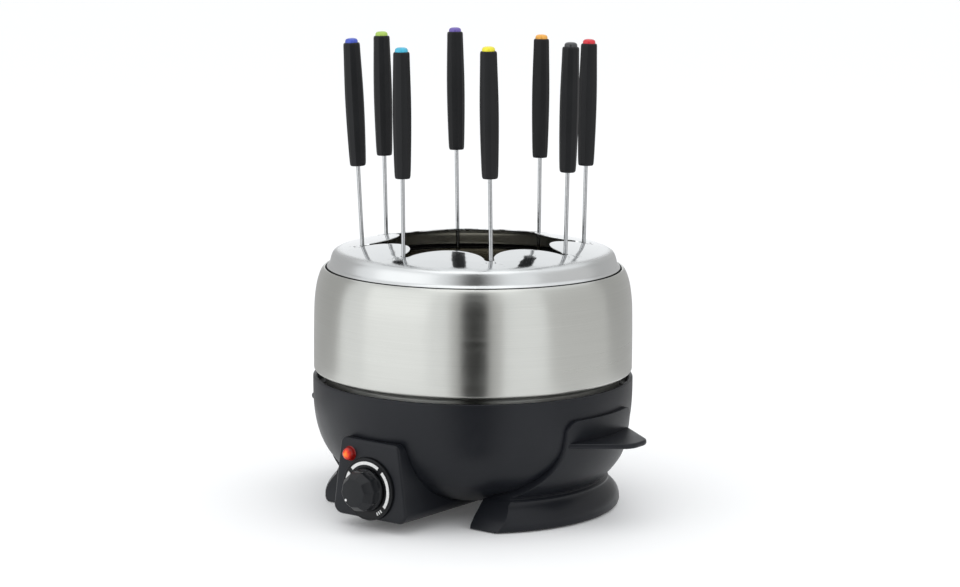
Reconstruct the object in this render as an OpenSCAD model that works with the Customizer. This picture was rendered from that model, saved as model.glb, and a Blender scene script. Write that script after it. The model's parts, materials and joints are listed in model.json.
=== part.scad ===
// Electric fondue pot set: heating base, pot, fork ring and eight forks.
// Millimetres. Origin on the pot's axis at table height, +Z up, control housing towards -Y,
// handle-feet on +X and -X.

/* [Base] */
// Outer radius of the base at its rim
base_r = 104; // [100:1:110]
// Height of the base rim above the table
rim_z = 83.2; // [82:0.2:85]
// Depth of the bowl's round outer shape below the rim
bowl_depth = 74.9; // [72:0.1:76]
// Wall of the bowl
bowl_wall = 2.5; // [2:0.1:3]

/* [Control housing] */
// Distance of the housing's front face from the pot's axis
panel_y = 107; // [106:0.5:109]
// Half width of the front face at its top
panel_top_w = 23.4; // [22:0.2:25]
// Half width of the front face at its bottom
panel_bottom_w = 28.9; // [28:0.1:30]
// Height of the housing's top edge
panel_top_z = 56.9; // [55:0.1:58]
// Height of the housing's bottom edge
panel_bottom_z = 7.2; // [6.5:0.1:8]
// Height of the dial's centre
dial_z = 26.6; // [26:0.2:28]
// Radius of the raised dial disc
dial_r = 19.8; // [19:0.1:20.4]

/* [Handle-feet] */
// How far the shield stands proud of the bowl
shield_proud = 2.6; // [2:0.1:3]
// Height of the top of the grip plate
plate_z = 56.2; // [55:0.2:58]
// Thickness of the grip plate
plate_t = 3.4; // [3:0.1:4]
// Reach of the grip plate from the pot's axis
plate_reach = 131.5; // [128:0.5:134]
// Half width of the shield and of the plate's root
shield_w = 34.4; // [33:0.2:36]
// Half length of the foot at the table
foot_w = 66.5; // [64:0.5:69]

/* [Pot] */
// Largest outer radius of the pot
pot_r = 103.4; // [103:0.1:104]
// Height of the pot's underside
pot_z = 67; // [66.5:0.1:67.4]
// Height of the pot's rim
pot_rim_z = 154.6; // [154:0.1:155]
// Sheet thickness of the pot
pot_wall = 1.0; // [0.8:0.1:1.2]

/* [Fork ring] */
// Sheet thickness of the fork ring
ring_wall = 0.9; // [0.7:0.1:1]
// Radius of the closed end of each notch
notch_r = 73.9; // [73:0.1:74.5]
// Width of a notch at its closed end
notch_w = 6.4; // [6.2:0.1:6.8]

/* [Forks] */
// Radius of a fork's steel shaft
shaft_r = 1.25; // [1.2:0.05:1.4]
// Height of the handles' lower ends
handle_z = 218.4; // [216:0.2:221]
// Length of a handle
handle_len = 78.7; // [76:0.5:80]
// Largest radius of a handle
handle_r = 6.05; // [5.8:0.05:6.3]

/* [Hidden] */
$fn = 96;
eps = 0.01;
gap = 0.3;

// How each fork stands: name, place around the ring in degrees from +X, outward lean and sideways lean in
// degrees, sideways place in its notch and rise off the pot's floor in millimetres, and cap colour
FORKS = [
    ["yellow", -45, 1, -1.2, 0.7, 2, [0.93, 0.88, 0.22]],
    ["grey", 0, 1.7, -1, 1.4, 3, [0.22, 0.22, 0.22]],
    ["red", 45, 0.8, 0, 0, 1, [0.84, 0.14, 0.2]],
    ["orange", 90, 0.6, 0.2, 0, 0.5, [0.96, 0.67, 0.3]],
    ["purple", 135, 1.8, 0.8, 0.9, 4, [0.43, 0.35, 0.7]],
    ["green", 180, 1.8, 0, 0.4, 3, [0.66, 0.8, 0.35]],
    ["blue", -135, 3, 0, -0.4, 2.5, [0.24, 0.35, 0.75]],
    ["turquoise", -90, 1.1, 0, -0.4, 0, [0.27, 0.74, 0.84]]
];

BASE_NODES = [
    "base_bowl", "reflector_pan", "pan_screws", "heating_plate", "heating_element", "plate_standoffs",
    "control_housing", "housing_cover", "cover_screws", "dial_disc", "dial_marks", "lamp_lens", "neon_lamp",
    "thermostat", "thermostat_bracket", "terminal_block", "thermal_fuse", "cord_gland",
    "handle_foot_right", "handle_foot_left", "foot_screws_right", "foot_screws_left",
    "foot_pads_right", "foot_pads_left"
];

// Radius of a bowl-shaped superellipse of rim radius r and depth d, at a depth h below the rim
function bulge_r(h, r, d) = r * pow(max(0, 1 - pow(h / d, 3)), 1 / 3);
// Outer radius of the handle-foot's shield at height z
function foot_r(z) = bulge_r(max(0, rim_z - z), base_r + shield_proud, foot_depth);

// Unit normal, to the left of travel, at point i of an open line p
function side(p, i) =
    let (a = p[max(0, i - 1)], b = p[min(len(p) - 1, i + 1)], d = b - a) [-d[1], d[0]] / norm(d);
// Closed outline of a sheet of thickness t whose outer face follows the open line p
function sheet(p, t) = concat(p, [for (i = [len(p) - 1:-1:0]) p[i] + t * side(p, i)]);
// Points of an arc about c with radius r from angle a to angle b
function arc(c, r, a, b, n = 6) = [for (i = [0:n]) let (t = a + (b - a) * i / n) c + r * [cos(t), sin(t)]];
// Smooth step from 0 to 1
function ease(t) = t * t * (3 - 2 * t);

// Handle-feet: the shell draws in to a crease, then flares to the table
foot_depth = 81.4;
crease_z = 19.8;
foot_bottom_z = 0.6;
// Outer face of the flared skirt, from just under the crease to the table
SKIRT = [[87.4, 18.6], [89.2, 16.8], [92.2, 13.8], [94.8, 10], [96.2, 6], [96.2, 3], [94.6, foot_bottom_z]];
// Inner face of the foot, from the table up into the bowl
FOOT_INNER = [[82, foot_bottom_z], [80, 6], [77, 12], [73, 18.6], [70, 30], [95, 76]];
// Pocket moulded into the underside of the foot, between the pads
FOOT_POCKET = [[84, -1], [91.5, -1], [91.5, 8], [84, 12]];
foot_pocket_turn = 50;
pad_r = 4.5;
pad_h = 3;
pad_at = 87.6;
pad_turn = 36;

// Heater
plate_r = 72;
heater_z = 61;
spreader_t = 0.35;
plate_top_z = pot_z - spreader_t - gap;
element_r = 52;
tube_r = 3.4;
pan_z = 52;
pan_t = 0.6;
post_r = 60;

// Control housing
housing_wall = 2.5;
housing_depth = 80;
bevel = 1.2;
cover_screw_x = 17;
cover_screw_y = 91;
cover_t = 2.2;
post_h = 24;
post_reach = 14;
housing_corner_r = 6;
housing_top_corner_r = 4;
disc_proud = 2;
lamp_x = -15.3;
lamp_z = 47.2;
lamp_r = 4.75;
spindle_r = 3;
spindle_clear = 0.06;

// Pot and ring
pot_floor_z = pot_z + pot_wall;
pot_step_r = 95.4;
pot_seat_z = pot_rim_z - 1.4;
ring_z = pot_seat_z + gap;

// Forks
notch_z = 168.5;
fork_tip_z = pot_floor_z + 1.8;
cap_r = 4.05;
cap_h = 3;
head_len = 34;
shaft_in = 60;

module ring_of(n, r, start = 0) {
    for (i = [0:n - 1]) rotate([0, 0, start + 360 * i / n]) translate([r, 0, 0]) children();
}

// ---------------------------------------------------------------- base

// Outline of the bowl's outer face, from the middle of the underside up to the rim
BOWL_STEPS = 22;
bowl_outer = concat(
    [[0, rim_z - bowl_depth]],
    [for (i = [0:BOWL_STEPS]) let (a = 90 * i / BOWL_STEPS) [
        base_r * pow(sin(a), 2 / 3), rim_z - bowl_depth * pow(cos(a), 2 / 3)]]
);

module bowl_solid(extra = 0) {
    rotate_extrude()
        polygon(concat([for (p = bowl_outer) p + [p[0] > 1 ? extra : 0, 0]], [[0, rim_z]]));
}

module base_bowl() {
    rim = [[base_r - 0.6, rim_z + 0.8], [base_r - 2, rim_z + 1]];
    inner = [for (i = [BOWL_STEPS - 1:-1:1]) let (a = 90 * i / BOWL_STEPS) [
        (base_r - bowl_wall) * pow(sin(a), 2 / 3), rim_z - (bowl_depth - bowl_wall) * pow(cos(a), 2 / 3)]];
    ledge = [[base_r - bowl_wall, rim_z + 0.4], [base_r - bowl_wall, 76], [98.4, 75.4], [98.4, 73.4]];
    color([0.2, 0.2, 0.215]) difference() {
        union() {
            rotate_extrude() polygon(concat(
                bowl_outer, rim, ledge,
                [for (p = inner) if (p[1] < 70) p],
                [[0, rim_z - bowl_depth + bowl_wall]]
            ));
            ring_of(3, post_r, 90) translate([0, 0, rim_z - bowl_depth + 1])
                cylinder(r = 4, h = pan_z - pan_t - (rim_z - bowl_depth + 1), $fn = 32);
            intersection() {
                bowl_solid(-1);
                union() {
                    for (s = [-1, 1], y = [-1, 1]) foot_screw_place(s, y) cylinder(r = 4.2, h = 12, $fn = 32);
                    translate([0, gland_y + flange_t, gland_z]) rotate([-90, 0, 0])
                        cylinder(r = gland_flange_r, h = 20);
                }
            }
        }
        ring_of(3, post_r, 90) translate([0, 0, pan_z - 14]) cylinder(r = 1.6, h = 20, $fn = 32);
        translate([-19, -base_r - 5, 13]) cube([38, 40, 34]);
        translate([0, 70, gland_z]) rotate([-90, 0, 0]) cylinder(r = gland_r, h = 40);
        for (s = [-1, 1], y = [-1, 1]) foot_screw_place(s, y) {
            cylinder(r = foot_screw_r, h = 30, center = true);
            translate([0, 0, -6]) cylinder(r = foot_screw_head_r + gap, h = 6);
        }
    }
}

module reflector_pan() {
    wall_r = 97.2;
    flange_r = 98;
    line = [
        [0, pan_z - pan_t], [86, pan_z - pan_t], [92, pan_z + 5], [wall_r - 0.6, 64], [wall_r, 73.5],
        [flange_r, 73.5], [flange_r, 74.1], [wall_r - 0.6, 74.1], [wall_r - 1.2, 64],
        [91.4, pan_z + 5.6], [85.6, pan_z], [0, pan_z]
    ];
    color([0.7, 0.7, 0.7]) difference() {
        rotate_extrude() polygon(line);
        ring_of(3, post_r, 90) translate([0, 0, pan_z - 2]) cylinder(r = 1.8, h = 4, $fn = 32);
        translate([-14, -70, pan_z - 3]) cube([28, 30, 6]);
    }
}

module screw(r, head_r, length, head_h) {
    cylinder(r = r, h = length, $fn = 32);
    translate([0, 0, length]) difference() {
        cylinder(r = head_r, h = head_h, $fn = 32);
        for (a = [0, 90]) rotate([0, 0, a]) translate([-head_r * 0.6, -0.4, head_h * 0.4])
            cube([head_r * 1.2, 0.8, head_h]);
    }
}

module pan_screws() {
    color([0.75, 0.75, 0.76]) ring_of(3, post_r, 90) translate([0, 0, pan_z - 12]) screw(1.6, 3.2, 12, 2);
}

module heating_plate() {
    color([0.5, 0.5, 0.5]) rotate_extrude() difference() {
        polygon([[0, heater_z], [plate_r - 1, heater_z], [plate_r, heater_z + 1], [plate_r, plate_top_z - 1],
            [plate_r - 1, plate_top_z], [0, plate_top_z]]);
        for (r = [24:16:56]) translate([r, plate_top_z - 0.6]) square([1.2, 1]);
    }
}

module heating_element() {
    color([0.35, 0.33, 0.32]) translate([0, 0, heater_z - tube_r]) {
        rotate([0, 0, -75]) rotate_extrude(angle = 330) translate([element_r, 0])
            circle(r = tube_r, $fn = 24);
        for (a = [-75, 255]) rotate([0, 0, a]) translate([element_r, 0, 0])
            rotate([a == 255 ? -90 : 90, 0, 0]) cylinder(r = tube_r, h = 8, $fn = 24);
    }
}

module plate_standoffs() {
    color([0.7, 0.7, 0.72]) ring_of(3, 36, 30) translate([0, 0, pan_z]) difference() {
        cylinder(r = 4, h = heater_z - pan_z, $fn = 32);
        translate([0, 0, -1]) cylinder(r = 1.6, h = heater_z, $fn = 32);
    }
}

// ---------------------------------------------------------------- control housing

// Front outline of the housing, in X and Z, drawn in by d all round
function panel_outline(d) =
    let (
        tw = panel_top_w - d, bw = panel_bottom_w - d, zt = panel_top_z - d, zb = panel_bottom_z + d,
        rt = housing_top_corner_r, rb = housing_corner_r
    ) concat(
        arc([bw - rb - 0.4, zb + rb], rb, -90, 0), arc([tw - rt - 0.3, zt - rt], rt, 0, 90),
        arc([-tw + rt + 0.3, zt - rt], rt, 90, 180), arc([-bw + rb + 0.4, zb + rb], rb, 180, 270)
    );

module panel_slab(y_front, depth, d) {
    translate([0, -y_front, 0]) rotate([90, 0, 0]) translate([0, 0, -depth]) linear_extrude(depth)
        polygon(panel_outline(d));
}

module housing_form(d) {
    hull() {
        panel_slab(panel_y - d, 0.5, bevel + d);
        panel_slab(panel_y - bevel * 0.3 - d, 0.5, bevel * 0.3 + d);
        panel_slab(panel_y - bevel - d, housing_depth - d, d);
    }
}

// Screw post for the cover on one side of the housing, with a web to the side wall
module cover_post(s) {
    translate([s * cover_screw_x, -cover_screw_y, panel_bottom_z + cover_t]) {
        cylinder(r = 3.4, h = post_h);
        translate([s > 0 ? 0 : -post_reach, -1, 0]) cube([post_reach, 2, post_h]);
    }
}

module cover_screw_holes(h) {
    for (s = [-1, 1]) translate([s * cover_screw_x, -cover_screw_y, 0]) cylinder(r = 1.6, h = h, $fn = 32);
}

module control_housing() {
    color([0.2, 0.2, 0.215]) difference() {
        union() {
            difference() {
                housing_form(0);
                housing_form(housing_wall);
            }
            intersection() {
                housing_form(housing_wall / 2);
                for (s = [-1, 1]) cover_post(s);
            }
        }
        bowl_solid(gap * 0.2);
        cover_screw_holes(14);
        translate([-panel_bottom_w + 7, -panel_y + 6, 0])
            cube([2 * panel_bottom_w - 14, 30, panel_bottom_z + cover_t]);
        translate([0, -panel_y + 5, dial_z]) rotate([90, 0, 0]) cylinder(r = spindle_r + 1.5, h = 20);
        translate([lamp_x, -panel_y + 5, lamp_z]) rotate([90, 0, 0]) cylinder(r = lamp_r - 0.8, h = 20);
    }
}

module housing_cover() {
    color([0.17, 0.17, 0.18]) difference() {
        translate([-panel_bottom_w + 7, -panel_y + 6, panel_bottom_z])
            cube([2 * panel_bottom_w - 14, 30, cover_t]);
        bowl_solid(gap * 0.2);
        cover_screw_holes(20);
    }
}

module cover_screws() {
    color([0.75, 0.75, 0.76]) for (s = [-1, 1])
        translate([s * cover_screw_x, -cover_screw_y, panel_bottom_z + 6]) rotate([180, 0, 0])
            screw(1.6, 3, 6, 1.6);
}

module facing(y) {
    translate([0, -y, dial_z]) rotate([90, 0, 0]) children();
}

module dial_disc() {
    color([0.16, 0.16, 0.17]) facing(panel_y) rotate_extrude() polygon([
        [spindle_r + 1.5, 0], [dial_r, 0], [dial_r, disc_proud - 0.5], [dial_r - 0.5, disc_proud],
        [spindle_r + 1.5, disc_proud]]);
}

// Printed heat scale: three arcs of one ring, and three short ticks at its hot end
marks_r = 17.7;
marks_w = 2;
marks_t = 0.25;
SCALE_ARCS = [[147, 235], [58, 136], [-36, 46]];

module dial_marks() {
    color("white") facing(panel_y + disc_proud) {
        for (a = SCALE_ARCS) rotate([0, 0, a[0]]) rotate_extrude(angle = a[1] - a[0])
            translate([marks_r - marks_w, 0]) square([marks_w, marks_t]);
        for (a = [-60:6:-48]) rotate([0, 0, a]) translate([marks_r - marks_w, -0.4, 0])
            cube([marks_w, 0.8, marks_t]);
    }
}

module lamp_lens() {
    color([0.85, 0.12, 0.08]) translate([lamp_x, -panel_y, lamp_z]) rotate([90, 0, 0]) rotate_extrude()
        polygon(concat([[0, -2.6], [lamp_r - 0.8, -2.6], [lamp_r - 0.8, 0], [lamp_r, 0]],
            arc([0, 0.6], lamp_r - 0.4, 0, 90, 8), [[0, 1]]));
}

module neon_lamp() {
    color([0.9, 0.5, 0.3]) translate([lamp_x, -panel_y + 2.9, lamp_z]) rotate([-90, 0, 0])
        cylinder(r = 0.9, h = 1.6, $fn = 24);
}

// ---------------------------------------------------------------- thermostat

thermostat_y = 92;

module thermostat() {
    color([0.85, 0.83, 0.78]) difference() {
        union() {
            translate([-11, -thermostat_y, dial_z - 11]) cube([22, 14, 22]);
            facing(thermostat_y) cylinder(r = 5, h = 4);
        }
        facing(thermostat_y - 10) cylinder(r = spindle_r + spindle_clear, h = 20);
    }
}

module thermostat_bracket() {
    inner_y = panel_y - housing_wall;
    color([0.7, 0.7, 0.72]) difference() {
        union() {
            translate([-9, -thermostat_y - 5, dial_z - 9]) cube([18, 1, 18]);
            for (x = [-9, 8]) translate([x, -inner_y, dial_z - 9]) cube([1, inner_y - thermostat_y - 4, 18]);
        }
        facing(thermostat_y) cylinder(r = 5 + eps, h = 20);
    }
}

module knob_spindle() {
    tail_y = thermostat_y - 9;
    color([0.75, 0.75, 0.75]) facing(tail_y) difference() {
        cylinder(r = spindle_r, h = panel_y + 12 - tail_y);
        translate([-5, spindle_r - 0.8, panel_y + 2 - tail_y]) cube([10, 4, 20]);
    }
}

// Angle of the knob's pointer at rest, measured in the front view from +X, anticlockwise
pointer_at = 222;
knob_r = 13.4;
knob_h = 14;
knob_gap = 0.5;
knob_flat = 15.2;

module knob() {
    grip_r = 12.4;
    color([0.13, 0.13, 0.14]) facing(panel_y + disc_proud + knob_gap) difference() {
        union() {
            rotate_extrude() polygon(concat(
                [[0, 0], [knob_r - 0.6, 0], [knob_r, 0.8], [grip_r, 8.5]],
                arc([grip_r - 4, knob_h - 4.5], 4, 10, 90, 5), [[0, knob_h]]));
        }
        for (s = [-1, 1]) rotate([s * 8, 0, pointer_at]) translate([-20, s * knob_flat - 5, 3])
            cube([40, 10, 20]);
        difference() {
            translate([0, 0, -1]) cylinder(r = spindle_r, h = 10.5);
            translate([-5, spindle_r - 0.8, 0]) cube([10, 4, 20]);
        }
        rotate([0, 0, pointer_at]) translate([grip_r - 2.6, 0, knob_h - 0.8])
            cylinder(r = 0.9, h = 3, $fn = 24);
    }
}

module terminal_block() {
    color([0.9, 0.88, 0.82]) difference() {
        translate([-10, -58, 18]) cube([20, 12, 10]);
        for (x = [-5, 5]) translate([x, -59, 23]) rotate([-90, 0, 0]) cylinder(r = 1.8, h = 14, $fn = 24);
    }
    color([0.9, 0.88, 0.82]) translate([-10, -58, 16]) cube([20, 12, 2]);
}

module thermal_fuse() {
    color([0.8, 0.75, 0.6]) translate([-7, -20, pan_z + 2.5]) rotate([0, 90, 0])
        cylinder(r = 2, h = 14, $fn = 24);
    color([0.8, 0.75, 0.6]) translate([-4, -22, pan_z]) cube([8, 4, 1.5]);
}

gland_z = 36;
gland_r = 6.5;
gland_bore = 3.6;
// The gland's flange bears on a boss inside the bowl, and its nose ends level with the bowl's rim
gland_y = 81.2;
gland_len = base_r - gland_y;
gland_flange_r = gland_r + 2;
flange_t = 1.6;

module cord_gland() {
    color([0.12, 0.12, 0.13]) translate([0, gland_y, gland_z]) rotate([-90, 0, 0]) rotate_extrude() polygon([
        [gland_bore, 0], [gland_flange_r, 0], [gland_flange_r, flange_t], [gland_r, flange_t],
        [gland_r, gland_len - 7], [gland_r - 0.6, gland_len - 5], [gland_r - 1.4, gland_len],
        [gland_bore, gland_len]]);
}

// ---------------------------------------------------------------- handle-feet

foot_screw_r = 1.7;
foot_screw_head_r = 3.2;
foot_screw_len = 14.5;
foot_screw_x = 76;
// Place of a foot screw, where its head bears inside the bowl, with +Z pointing outwards
module foot_screw_place(s, y) {
    translate([s * foot_screw_x, y * 14, 27]) rotate([0, s * 90, 0]) children();
}

// Half length of the foot at height z: shield width above the plate, easing out to the full foot
function foot_half(z) =
    z > plate_z - plate_t ? shield_w : foot_w - (foot_w - shield_w) * ease(pow(z / (plate_z - plate_t), 0.8));

// Side outline of shield and foot in Y and Z
function foot_outline() =
    let (steps = 12, top_z = 70.2, rt = 8) concat(
        [for (i = [0:steps]) let (z = (plate_z - plate_t) * i / steps) [foot_half(z), z]],
        arc([shield_w - rt, top_z - rt], rt, 0, 90, 5), arc([-shield_w + rt, top_z - rt], rt, 90, 180, 5),
        [for (i = [steps:-1:0]) let (z = (plate_z - plate_t) * i / steps) [-foot_half(z), z]]
    );

// Outer profile of shield, shell and flared skirt, from the top down
function foot_profile() =
    let (steps = 14, top_z = 75)
    concat([for (i = [0:steps]) let (z = top_z - (top_z - crease_z) * i / steps) [foot_r(z), z]], SKIRT);

// A profile turned about the pot's axis through a stretch centred on +X
module foot_revolve(profile, stretch = 140) {
    rotate([0, 0, -stretch / 2]) rotate_extrude(angle = stretch) polygon(profile);
}

module foot_shell() {
    intersection() {
        foot_revolve(concat(foot_profile(), FOOT_INNER));
        rotate([90, 0, 90]) linear_extrude(120) polygon(foot_outline());
    }
}

// Plan outline of the grip plate: straight sides closing in, round corners at the outer edge
function plate_outline() =
    let (rc = 12, tip = 15) concat(
        [[90, -shield_w], [98, -shield_w]], arc([plate_reach - rc, -tip + rc], rc, -53, 0, 6),
        arc([plate_reach - rc, tip - rc], rc, 0, 53, 6), [[98, shield_w], [90, shield_w]]
    );

module handle_foot() {
    difference() {
        union() {
            foot_shell();
            translate([0, 0, plate_z - plate_t]) linear_extrude(plate_t) polygon(plate_outline());
        }
        bowl_solid(gap * 0.2);
        foot_revolve(FOOT_POCKET, foot_pocket_turn);
        for (a = [-1, 1]) rotate([0, 0, a * pad_turn]) translate([pad_at, 0, -1])
            cylinder(r = pad_r, h = 1 + pad_h);
        for (y = [-1, 1]) foot_screw_place(1, y) cylinder(r = foot_screw_r, h = foot_screw_len, $fn = 32);
    }
}

module handle_foot_right() {
    color([0.2, 0.2, 0.215]) handle_foot();
}

module handle_foot_left() {
    color([0.2, 0.2, 0.215]) rotate([0, 0, 180]) handle_foot();
}

module foot_screws(s) {
    color([0.75, 0.75, 0.76]) for (y = [-1, 1])
        foot_screw_place(s, y) translate([0, 0, foot_screw_len]) rotate([180, 0, 0])
            screw(foot_screw_r, foot_screw_head_r, foot_screw_len, 2);
}

module foot_screws_right() {
    foot_screws(1);
}

module foot_screws_left() {
    foot_screws(-1);
}

module foot_pads(s) {
    color([0.1, 0.1, 0.1]) for (a = [-1, 1]) rotate([0, 0, a * pad_turn]) translate([s * pad_at, 0, 0])
        cylinder(r = pad_r, h = pad_h);
}

module foot_pads_right() {
    foot_pads(1);
}

module foot_pads_left() {
    foot_pads(-1);
}

// ---------------------------------------------------------------- pot

// Outer face of the pot from the middle of its underside to its rim
pot_line = concat(
    [[0, pot_z], [40, pot_z]], arc([pot_step_r - 8, pot_z + 8], 8, -90, 0, 6),
    [[pot_step_r, 84.4]], arc([pot_step_r + 3, 84.4], 3, 180, 90, 4),
    [[pot_r - 2.4, 87.7]], arc([pot_r - 2.4, 91.5], 2.3, -60, 0, 3),
    [[pot_r, 97.2], [pot_r - 0.1, 115], [pot_r - 0.4, 129.8], [pot_r - 1, 137.5], [pot_r - 2.1, 144.5],
        [pot_r - 3.5, 149.4], [pot_r - 4.9, 152.6], [pot_r - 6, pot_rim_z - 0.5], [pot_r - 6.9, pot_rim_z],
        [pot_r - 7.6, pot_rim_z - 0.5], [pot_r - 7.9, pot_seat_z], [pot_r - 12.5, pot_seat_z - 0.2]]
);

module pot_body() {
    color([0.8, 0.8, 0.78]) rotate_extrude($fn = 144) polygon(sheet(pot_line, pot_wall));
}

module pot_base_disc() {
    color([0.6, 0.6, 0.6]) translate([0, 0, pot_z - spreader_t]) cylinder(r = 70, h = spreader_t);
}

// ---------------------------------------------------------------- fork ring

crest_z = 165.8;
ring_line = concat(
    [[95.1, ring_z], [95.1, ring_z + 1.2]], arc([94.1, ring_z + 1.2], 1, 30, 90, 2),
    arc([93.7, ring_z + 3.2], 1, -90, -170, 3),
    [[92.6, 159.4], [91.9, 162]], arc([88.9, 162.8], 3, 5, 100, 6),
    [[81, 167.3], [notch_r, 168.7], [64, 170.2], [50, 172]]
);

module ring_opening() {
    lobe_at = 78;
    lobe_r = 27;
    notch_end_r = notch_r - notch_w / 2;
    notch_mouth_r = 60;
    translate([0, 0, 150]) linear_extrude(40) difference() {
        union() {
            circle(r = 72.2);
            for (f = FORKS) rotate([0, 0, f[1]]) {
                translate([notch_end_r, 0]) circle(d = notch_w, $fn = 48);
                translate([notch_mouth_r, -notch_w / 2]) square([notch_end_r - notch_mouth_r, notch_w]);
            }
        }
        for (f = FORKS) rotate([0, 0, f[1] + 22.5]) translate([lobe_at, 0]) circle(r = lobe_r);
    }
}

module fork_ring() {
    color([0.78, 0.8, 0.8]) difference() {
        rotate_extrude($fn = 144) polygon(sheet(ring_line, ring_wall));
        ring_opening();
    }
}

// ---------------------------------------------------------------- forks

// Moves a fork drawn upright on the Z axis, from the table plane, to its place in notch i
module fork_place(i) {
    f = FORKS[i];
    end_r = notch_w / 2;
    rest_r = notch_r - end_r + sqrt(pow(end_r - shaft_r - gap, 2) - pow(f[4], 2));
    rotate([0, 0, f[1]]) translate([rest_r, f[4], notch_z + f[5]]) rotate([-f[3], f[2], 0])
        translate([0, 0, -notch_z]) children();
}

// Two flat tines with barbs at their tips, in X and Z, from the tips up
module fork_head() {
    tine_w = 1.7;
    half = 4;
    neck = head_len - 8;
    rotate([90, 0, 0]) translate([0, 0, -0.8]) linear_extrude(1.6) {
        for (s = [-1, 1]) polygon([
            [s * half, 0], [s * half, neck], [s * 1.1, head_len], [0, head_len], [0, neck + 3],
            [s * (half - tine_w), neck - 1.5], [s * (half - tine_w), 9], [s * (half - tine_w - 1.3), 5.5],
            [s * (half - tine_w), 6.3]]);
    }
}

module fork_shaft(i) {
    color([0.75, 0.75, 0.76]) fork_place(i) translate([0, 0, fork_tip_z]) {
        fork_head();
        translate([0, 0, head_len - 2])
            cylinder(r = shaft_r, h = handle_z + shaft_in - fork_tip_z - head_len + 2, $fn = 32);
    }
}

module fork_handle(i) {
    color([0.17, 0.17, 0.18]) fork_place(i) translate([0, 0, handle_z]) difference() {
        rotate_extrude($fn = 48) polygon([
            [0, 0], [4.3, 0], [5.0, 0.7], [5.25, 2], [5.6, 12], [5.95, 28], [handle_r, 42], [5.85, 56],
            [5.5, 68], [5.3, handle_len - 2], [4.9, handle_len - 0.5], [4.4, handle_len], [0, handle_len]]);
        translate([0, 0, -1]) cylinder(r = shaft_r, h = shaft_in + 1, $fn = 32);
        translate([0, 0, handle_len - 3]) cylinder(r = 2.4, h = 4, $fn = 32);
    }
}

module fork_cap(i) {
    color(FORKS[i][6]) fork_place(i) translate([0, 0, handle_z + handle_len]) rotate_extrude($fn = 48)
        polygon(concat([[0, -3], [2.4, -3], [2.4, 0], [cap_r, 0], [cap_r, 0.9]],
            arc([cap_r - 2.1, 0.9], 2.1, 0, 90, 5), [[0, cap_h]]));
}

base_bowl();
reflector_pan();
pan_screws();
heating_plate();
heating_element();
plate_standoffs();
control_housing();
housing_cover();
cover_screws();
dial_disc();
dial_marks();
lamp_lens();
neon_lamp();
thermostat();
thermostat_bracket();
terminal_block();
thermal_fuse();
cord_gland();
handle_foot_right();
handle_foot_left();
foot_screws_right();
foot_screws_left();
foot_pads_right();
foot_pads_left();
knob();
knob_spindle();
pot_body();
pot_base_disc();
fork_ring();
for (i = [0:len(FORKS) - 1]) {
    fork_shaft(i);
    fork_handle(i);
    fork_cap(i);
}
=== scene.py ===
"""Looks of an electric fondue pot set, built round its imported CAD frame.

Lengths are in metres in the frame's own axes: the origin is on the pot's axis at table height, +Z is up,
the control housing faces -Y and the handle-feet point along +X and -X. Outlines below are in millimetres
and are turned into metres by MM.
"""
import json
import math

import bpy
import bmesh
from mathutils import Matrix, Vector


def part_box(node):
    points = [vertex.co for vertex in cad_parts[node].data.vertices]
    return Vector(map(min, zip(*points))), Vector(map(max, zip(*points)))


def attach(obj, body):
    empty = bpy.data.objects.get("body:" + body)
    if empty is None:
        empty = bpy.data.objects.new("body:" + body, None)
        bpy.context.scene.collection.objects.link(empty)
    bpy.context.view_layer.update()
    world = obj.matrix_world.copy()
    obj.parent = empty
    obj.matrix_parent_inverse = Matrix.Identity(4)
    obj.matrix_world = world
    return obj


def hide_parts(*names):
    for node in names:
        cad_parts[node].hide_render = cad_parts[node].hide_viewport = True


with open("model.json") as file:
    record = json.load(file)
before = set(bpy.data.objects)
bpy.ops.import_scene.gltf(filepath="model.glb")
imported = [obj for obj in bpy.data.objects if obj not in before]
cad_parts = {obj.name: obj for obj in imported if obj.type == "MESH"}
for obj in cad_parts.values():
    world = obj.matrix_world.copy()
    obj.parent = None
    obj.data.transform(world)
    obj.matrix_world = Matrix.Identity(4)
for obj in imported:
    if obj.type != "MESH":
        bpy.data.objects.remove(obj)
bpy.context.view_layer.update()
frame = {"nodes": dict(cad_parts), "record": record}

MM = 0.001
TAU = 2 * math.pi
NODES = frame["nodes"]
FORK_NAMES = [n[5:-6] for n in NODES if n.startswith("fork_") and n.endswith("_shaft")]


def centre(node):
    low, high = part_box(node)
    return (low + high) / 2


def size(node):
    low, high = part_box(node)
    return high - low


# ------------------------------------------------------------------ outlines

def smooth_line(points, steps=6):
    """A Catmull-Rom curve through open outline points, with that many steps between two points."""
    ends = [points[0], *points, points[-1]]
    line = []
    for i in range(1, len(ends) - 2):
        p0, p1, p2, p3 = (Vector(ends[i + k]) for k in (-1, 0, 1, 2))
        for k in range(steps):
            t = k / steps
            line.append(0.5 * (2 * p1 + (p2 - p0) * t + (2 * p0 - 5 * p1 + 4 * p2 - p3) * t * t
                               + (3 * p1 - p0 - 3 * p2 + p3) * t ** 3))
    return [*line, Vector(points[-1])]


def arc(cx, cy, r, start, end, steps=6):
    """Points of an arc, with its angles in degrees."""
    angles = [math.radians(start + (end - start) * i / steps) for i in range(steps + 1)]
    return [Vector((cx + r * math.cos(a), cy + r * math.sin(a))) for a in angles]


def offset_line(line, distance):
    """An open line moved to the left of its travel."""
    moved = []
    for i, p in enumerate(line):
        ahead = line[min(i + 1, len(line) - 1)] - line[max(i - 1, 0)]
        ahead.normalize()
        moved.append(p + Vector((-ahead.y, ahead.x)) * distance)
    return moved


def bulge(height, radius, depth):
    """Radius of a bowl-shaped superellipse at a height below its rim."""
    return radius * max(0.0, 1 - (max(0.0, height) / depth) ** 3) ** (1 / 3)


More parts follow.
